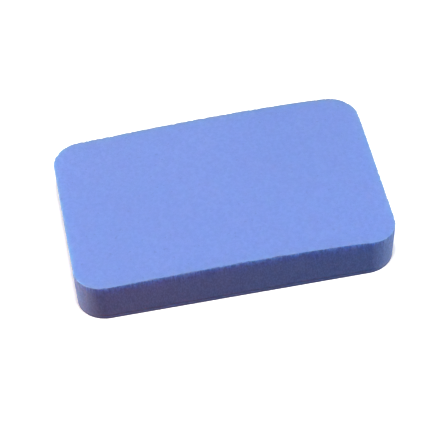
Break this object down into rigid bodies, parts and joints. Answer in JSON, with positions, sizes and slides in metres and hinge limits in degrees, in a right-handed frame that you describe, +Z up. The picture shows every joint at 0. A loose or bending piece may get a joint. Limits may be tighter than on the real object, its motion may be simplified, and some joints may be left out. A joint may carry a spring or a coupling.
{
  "type": "foam-backed detailing clay bar",
  "caption": "Rounded rectangular foam hand block with a thin layer of synthetic clay glued under it, for rubbing bonded dirt off wet car paint and glass.",
  "frame": {"origin": "centre of the clay's flat working face, which is the bottom of the block", "axes": "+X along the block's length, +Y across its width, +Z up from the working face to the foam's top face"},
  "size_m": [0.114, 0.076, 0.0166],
  "materials": {
    "blue_foam": "matte",
    "adhesive_film": "satin",
    "synthetic_clay": "satin"
  },
  "bodies": {
    "root": {"foam_block": "blue_foam", "bond_film": "adhesive_film", "clay_face": "synthetic_clay"}
  },
  "joints": []
}
